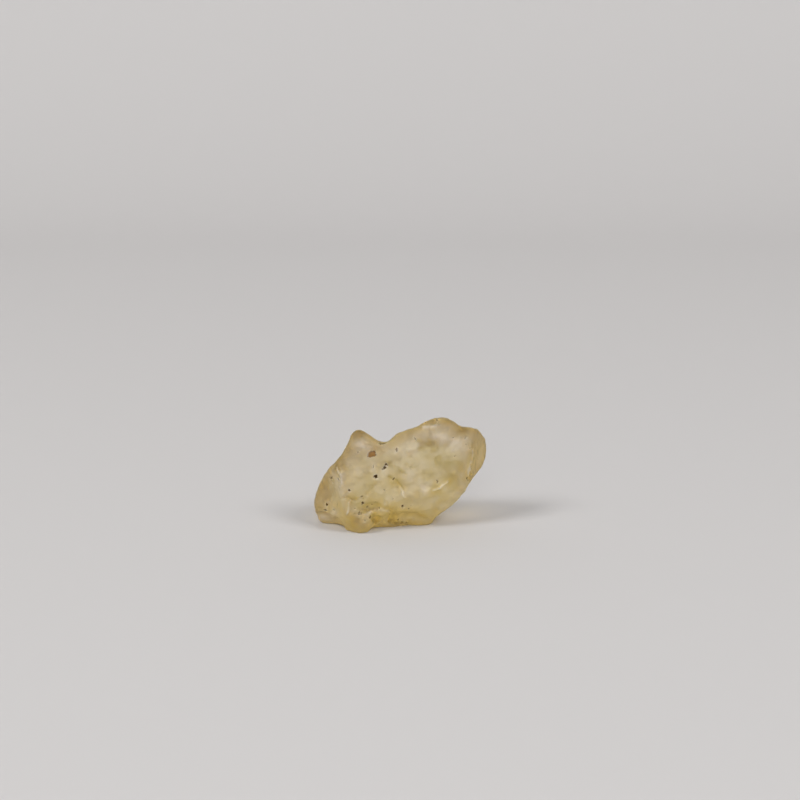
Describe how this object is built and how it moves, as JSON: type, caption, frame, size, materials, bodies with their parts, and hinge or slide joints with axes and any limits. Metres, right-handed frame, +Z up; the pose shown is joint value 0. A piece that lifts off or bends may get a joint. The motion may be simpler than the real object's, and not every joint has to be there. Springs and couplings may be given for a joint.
{
  "type": "libyan desert glass",
  "caption": "Small wind-worn nugget of pale yellow natural silica glass, with a horn at one end, a raised hump, scooped faces and a flat worn base.",
  "frame": {"origin": "centre of the bounding box's bottom face, on the surface that the nugget stands on", "axes": "+X along the nugget's length from the horned end to the rounded end, +Y through its thickness away from the broad front, +Z up"},
  "size_m": [0.022, 0.0106, 0.014],
  "materials": {
    "desert_glass": "frosted by wind, translucent, with rust-brown grains in a few pits"
  },
  "bodies": {
    "root": {"desert_glass": "desert_glass"}
  },
  "joints": []
}
